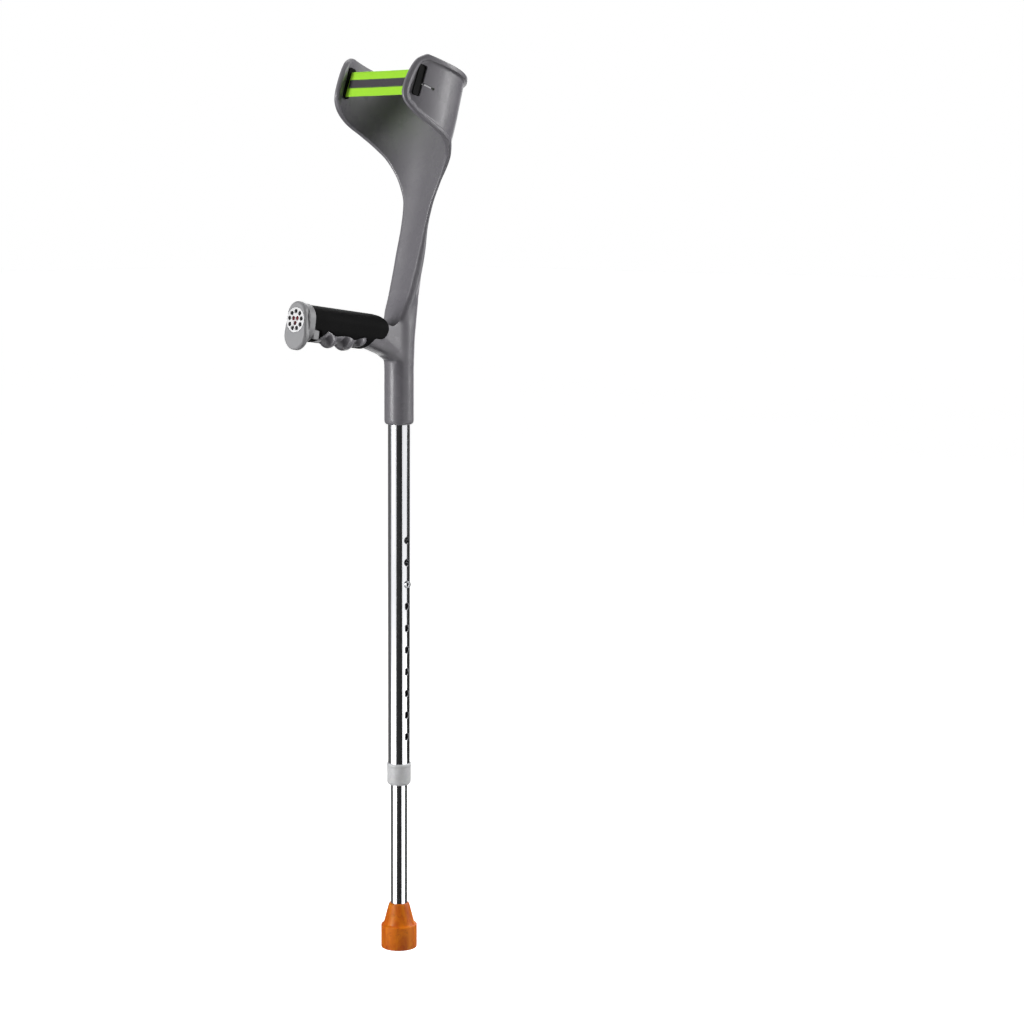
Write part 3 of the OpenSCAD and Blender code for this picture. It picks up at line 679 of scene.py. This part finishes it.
def tube(name, r, bore, z0, z1, holes, body, node):
    obj = lathe(name, round_profile([(bore, z1), (bore, z0), (r, z0), (r, z1)], 0.35, 3), 192)
    profile = [(0, 0), (HOLE_R, 0), (HOLE_R, r - 0.45), (HOLE_R + 0.35, r),
               (HOLE_R + 0.6, r + 2), (0, r + 2)]
    cutters = [lathe(f"hole{i}", profile[::-1], 48, Matrix.Translation((0, 0, z)) @ ALONG_X)
               for i, z in enumerate(holes)]
    combine(obj, cutters, "DIFFERENCE")
    finish_piece(obj, body, CHROME, [node], 30)
    obj.data.materials.append(SATIN)
    for poly in obj.data.polygons:
        if math.hypot(poly.center.x, poly.center.y) < (r - 0.05) * MM:
            poly.material_index = 1
    # Exact round normals on the tube's outside, for clean reflections
    mesh = obj.data
    normals = [Vector(n.vector) for n in mesh.corner_normals]
    for poly in mesh.polygons:
        radial = Vector((poly.center.x, poly.center.y, 0)).normalized()
        if abs(poly.normal.z) < 0.02 and poly.normal.dot(radial) > 0.999:
            if all(abs(math.hypot(*mesh.vertices[v].co.xy) - r * MM) < 2e-5 for v in poly.vertices):
                for li in poly.loop_indices:
                    co = mesh.vertices[mesh.loops[li].vertex_index].co
                    normals[li] = Vector((co.x, co.y, 0)).normalized()
    mesh.normals_split_custom_set(normals)
    return obj


def build_leg():
    tube("upper_tube", OUTER_R, OUTER_BORE, FOOT_Z, OUTER_TOP, HOLES, "upper", "outer_tube")
    tube("lower_tube", INNER_R, INNER_BORE, INNER_FOOT, INNER_TOP, [BUTTON_Z], "lower", "inner_tube")
    build_button()
    build_collar()
    build_ferrule()


def build_button():
    r, base, tip = BUTTON_R, BUTTON_BASE, BUTTON_TIP
    dome = [(0, base), (r + 0.7, base), (r + 0.7, base + 1.2), (r, base + 1.2), (r, tip - r)]
    dome += [(r * math.cos(a), tip - r + r * math.sin(a)) for a in
             [math.pi / 2 * i / 16 for i in range(1, 16)]] + [(0, tip)]
    button = lathe("push_button", dome, 64, Matrix.Translation((0, 0, BUTTON_Z)) @ ALONG_X)
    finish_piece(button, "button", BUTTON, ["snap_button"])


def build_collar():
    z0, h, r = COLLAR_Z, COLLAR_H, COLLAR_R
    outline = round_profile([
        (INNER_R + 0.1, z0), (r - 1.8, z0), (r, z0 + 3.0), (r, z0 + h - 5.5), (r - 0.25, z0 + h - 4.2),
        (r + 0.5, z0 + h - 2.6), (r + 0.45, z0 + h), (OUTER_R + 0.03, z0 + h), (OUTER_R + 0.03, FOOT_Z),
        (INNER_R + 0.1, FOOT_Z)], 0.5, 3)
    collar = lathe("guide_collar", outline[::-1], 128)
    finish_piece(collar, "upper", COLLAR, ["anti_rattle_collar"], 40)


def build_ferrule():
    """Round foot with a stepped tread, a wide band and a cone up to the tube."""
    tread = [(0, 10), (0, 1.2), (8, 1.2), (8, 0), (10, 0), (10, 1.2), (13, 1.2), (13, 0)]
    cone = [(BAND_R, 0), (BAND_R, 27), (BAND_R - 2.4, 27.6), (BAND_R - 3.4, 30.4),
            (FERRULE_NECK_R + 0.3, 49), (FERRULE_NECK_R - 0.9, 52)]
    socket = [(INNER_R + 0.02, 52), (INNER_R + 0.02, 10)]
    ferrule = lathe("ferrule_body", round_profile(tread + cone + socket, 1.1, 4), 160)
    finish_piece(ferrule, "lower", ORANGE, ["ferrule"], 50)


# ---------------------------------------------------------------- strap
def slot_x():
    """Half the width inside the cuff at the slots."""
    return A * math.sqrt(1 - ((SLOT_F - F0) / FRONT) ** 2)


def ribbon(name, half, width, thick, lift, cols=12):
    """Webbing between the flanges: a closed thin sheet with rounded selvedges and UVs in metres."""
    rows = 64
    bm = bmesh.new()
    uv = bm.loops.layers.uv.new("UVMap")
    grid = {}
    for layer in (0, 1):
        for i in range(rows + 1):
            for j in range(cols + 1):
                u, v = i / rows * 2 - 1, j / cols * 2 - 1
                round_off = math.sqrt(max(1 - abs(v) ** 10, 0))
                bend = STRAP_SAG * (1 - u * u)
                side = 1 if layer else -1
                depth = side * thick / 2 * (0.35 + 0.65 * round_off)
                grid[layer, i, j] = bm.verts.new((u * half, bend + depth - lift, v * width / 2 - STRAP_DROP))

    def face(keys):
        f = bm.faces.new([grid[k] for k in keys])
        for loop, k in zip(f.loops, keys):
            loop[uv].uv = ((k[1] / rows) * 2 * half * MM, (k[2] / cols) * width * MM)

    for i in range(rows):
        for j in range(cols):
            face([(0, i, j), (0, i + 1, j), (0, i + 1, j + 1), (0, i, j + 1)])
            face([(1, i, j), (1, i, j + 1), (1, i + 1, j + 1), (1, i + 1, j)])
        face([(0, i, 0), (1, i, 0), (1, i + 1, 0), (0, i + 1, 0)])
        face([(0, i, cols), (0, i + 1, cols), (1, i + 1, cols), (1, i, cols)])
    for j in range(cols):
        face([(0, 0, j), (0, 0, j + 1), (1, 0, j + 1), (1, 0, j)])
        face([(0, rows, j), (1, rows, j), (1, rows, j + 1), (0, rows, j + 1)])
    bmesh.ops.recalc_face_normals(bm, faces=bm.faces)
    return from_bmesh(name, bm, IN_SLOT)


def build_strap():
    half = slot_x() - 1.5
    stripe_half = half - 2.2
    strap = ribbon("strap", half, STRAP_W, STRAP_T, 0.0)
    finish_piece(strap, "upper", NEON, ["strap_webbing"], 60)
    stripe = ribbon("strap_stripe", stripe_half, STRIPE_W, 0.3, 0.93, cols=6)
    finish_piece(stripe, "upper", STRIPE, ["reflective_stripe"], 60)
    # Two rows of stitches hold the stripe down, and one runs along each selvedge
    bm = bmesh.new()
    pitch, length, r = 2.6, 1.9, 0.17
    for v, lift in ((-4.3, 1.1), (4.3, 1.1), (-13.1, 0.78), (13.1, 0.78)):
        x = -half + 3.0
        while x < half - 3.0:
            bend = STRAP_SAG * (1 - (x / half) ** 2)
            m = Matrix.Translation((x, bend - lift, v - STRAP_DROP)) @ ALONG_X
            m = m @ Matrix.Diagonal((0.7, 1.0, length / (2 * r), 1.0))
            bmesh.ops.create_icosphere(bm, subdivisions=1, radius=r, matrix=m)
            x += pitch
    stitches = from_bmesh("strap_stitches", bm, IN_SLOT)
    finish_piece(stitches, "upper", THREAD, (), 60)


# ---------------------------------------------------------------- cap's disc
def build_disc():
    r, t, rise, hole_r = 13.5, 1.2, 2.0, 2.35
    disc = lathe("reflector_grid", round_profile([(0, t), (0, 0), (r, 0), (r, t)], 0.35, 3)[::-1], 96)
    holes = []
    for n, radius, start in ((9, 9.3, 90), (3, 3.4, -90)):
        for i in range(n):
            a = math.radians(start + i * 360 / n)
            spot = Matrix.Translation((radius * math.cos(a), radius * math.sin(a), 0))
            flared = [(0, -1), (hole_r, -1), (hole_r, t - 0.3), (2.45, t), (2.6, t + 1), (0, t + 1)]
            holes.append(lathe("hole", flared, 32, spot))
    combine(disc, holes, "DIFFERENCE")
    disc.data.transform(ON_HANDLE @ Matrix.Translation((0, rise, HANDLE_LEN - t)))
    finish_piece(disc, "upper", WHITE, ["reflector_disc"], 40)


build_moulding()
softened("grip_foam", "grip_sleeve", 0.55, 5, GRIP)
softened("cap_body", "end_cap", 0.45, 3, CAP)
build_disc()
build_strap()
build_leg()

for name, mat in {"reflector_backing": RED, "end_cap_screw": STEEL, "strap_anchor_near": BLACK,
                  "strap_anchor_far": BLACK, "anchor_wedges": WEDGE_GLINT, "tube_plug": INSIDE,
                  "guide_bushing": INSIDE, "button_spring": STEEL, "ferrule_washer": STEEL}.items():
    nodes[name].data.materials.clear()
    nodes[name].data.materials.append(mat)


# ---------------------------------------------------------------- studio
# In metres. The floor is clear of the ferrule at the leg's longest setting.
FLOOR_Z, FLOOR_HALF, CARD_TOP = -0.101, 30, 1.3
AIM = Vector((0, 0, 0.55))


def build_floor():
    n = Nodes("floor_paper")
    tone = n.noise(1.3, 3, 0.5)
    base = n.mix(n.remap(tone, 0.3, 0.7), (0.90, 0.90, 0.90), (0.94, 0.94, 0.94))
    n.set(Base_Color=base, Roughness=n.remap(tone, 0.3, 0.7, 0.75, 0.85), Specular_IOR_Level=0.1,
          Emission_Color=(1, 1, 1, 1), Emission_Strength=0.82,
          Normal=n.bump(n.noise(900, 3, 0.6), 0.0002, 0.25))
    corners = [(x * FLOOR_HALF, y * FLOOR_HALF, FLOOR_Z) for x, y in ((-1, -1), (1, -1), (1, 1), (-1, 1))]
    floor = make("floor", corners, [[0, 1, 2, 3]])
    floor.data.materials.append(n.mat)
    floor.visible_diffuse = False


def area_light(name, azimuth, height, distance, size, power):
    light = bpy.data.lights.new(name, "AREA")
    light.shape = "RECTANGLE"
    light.size, light.size_y = size
    light.energy = power
    obj = link(name, light)
    a = math.radians(azimuth)
    obj.location = (distance * math.sin(a), -distance * math.cos(a), height)
    obj.rotation_mode = "QUATERNION"
    obj.rotation_quaternion = (AIM - obj.location).to_track_quat("-Z", "Y")


def card(name, shade, a0, a1, foot_radius, radius, spread=0):
    """Curved card round the leg, seen only in reflections, which draws a band on the tubes. It
    comes closer near the floor, so that the band reaches the ferrule."""
    n = Nodes(name)
    n.set(Base_Color=(shade, shade, shade, 1), Specular_IOR_Level=0.0,
          Roughness=n.remap(n.noise(8), 0.3, 0.7, 0.85, 0.95))
    verts, faces, steps = [], [], 16
    for i in range(steps + 1):
        for r, z, wide in ((foot_radius, FLOOR_Z + 0.001, spread), (radius, CARD_TOP, 0)):
            a = math.radians(a0 - wide + (a1 - a0 + 2 * wide) * i / steps)
            verts.append((r * math.sin(a), -r * math.cos(a), z))
    for i in range(steps):
        faces.append([2 * i, 2 * i + 2, 2 * i + 3, 2 * i + 1])
    obj = make(name, verts, faces)
    obj.data.materials.append(n.mat)
    obj.visible_camera = obj.visible_diffuse = obj.visible_shadow = False
    obj.visible_transmission = obj.visible_volume_scatter = False


def build_world():
    """White dome, dimmer on the side that the photograph was taken from."""
    world = bpy.data.worlds.new("studio")
    bpy.context.scene.world = world
    world.use_nodes = True
    tree = world.node_tree
    back = tree.nodes["Background"]
    coord = tree.nodes.new("ShaderNodeTexCoord")
    dot = tree.nodes.new("ShaderNodeVectorMath")
    dot.operation = "DOT_PRODUCT"
    dot.inputs[1].default_value = (math.sin(math.radians(45)), -math.cos(math.radians(45)), -0.15)
    tree.links.new(coord.outputs["Generated"], dot.inputs[0])
    ramp = tree.nodes.new("ShaderNodeMapRange")
    for k, v in {"From Min": -0.1, "From Max": 0.75, "To Min": 1.0, "To Max": 0.3}.items():
        ramp.inputs[k].default_value = v
    ramp.interpolation_type = "SMOOTHSTEP"
    tree.links.new(dot.outputs["Value"], ramp.inputs["Value"])
    # Full strength in the background, the ramp in reflections and a weak fill for the rest
    path = tree.nodes.new("ShaderNodeLightPath")
    value = 0.16
    for ray, strength in (("Is Glossy Ray", ramp.outputs["Result"]), ("Is Camera Ray", 1.0)):
        pick = tree.nodes.new("ShaderNodeMix")
        tree.links.new(path.outputs[ray], pick.inputs["Factor"])
        for socket, v in (("A", value), ("B", strength)):
            if isinstance(v, float):
                pick.inputs[socket].default_value = v
            else:
                tree.links.new(v, pick.inputs[socket])
        value = pick.outputs["Result"]
    tree.links.new(value, back.inputs["Strength"])
    back.inputs["Color"].default_value = (1, 1, 1, 1)


def build_studio():
    bpy.context.scene.view_settings.view_transform = "Standard"
    build_floor()
    build_world()
    area_light("key_left", -14, 0.95, 2.2, (0.8, 1.3), 34)
    area_light("strip", -10, 0.97, 2.1, (0.12, 0.9), 4.5)
    area_light("key_right", 142, 1.25, 2.3, (1.0, 1.8), 50)
    area_light("back", 215, 1.8, 2.4, (1.4, 1.6), 12)
    area_light("top", 215, 3.0, 0.8, (1.6, 1.6), 8)
    card("card_front", 0.05, 20, 74, 0.117, 0.30, 9)
    card("card_right", 0.04, 131, 192, 0.13, 0.55)
    card("card_left", 0.15, 240, 316, 0.13, 0.55)


def build_camera():
    """The photograph's camera, placed round the leg and then turned by small angles."""
    data = bpy.data.cameras.new("camera")
    cam = link("camera", data)
    bpy.context.scene.camera = cam
    data.sensor_width = 36.0
    data.lens = 82.97
    data.clip_start, data.clip_end = 0.05, 100
    distance, height = 2.64, 0.836
    azimuth, yaw, pitch, roll = map(math.radians, (45.0, 2.761, 7.156, -0.344))
    place = Vector((distance * math.sin(azimuth), -distance * math.cos(azimuth), height))
    ahead0 = Vector((-math.sin(azimuth), math.cos(azimuth), 0))
    right0 = Vector((math.cos(azimuth), math.sin(azimuth), 0))
    ahead = ahead0 * math.cos(yaw) + right0 * math.sin(yaw)
    right = right0 * math.cos(yaw) - ahead0 * math.sin(yaw)
    forward = ahead * math.cos(pitch) - Vector((0, 0, math.sin(pitch)))
    up = Vector((0, 0, math.cos(pitch))) + ahead * math.sin(pitch)
    x = right * math.cos(roll) - up * math.sin(roll)
    y = up * math.cos(roll) + right * math.sin(roll)
    turn = Matrix((x, y, -forward)).transposed().to_4x4()
    cam.matrix_world = Matrix.Translation(place) @ turn


build_studio()
build_camera()
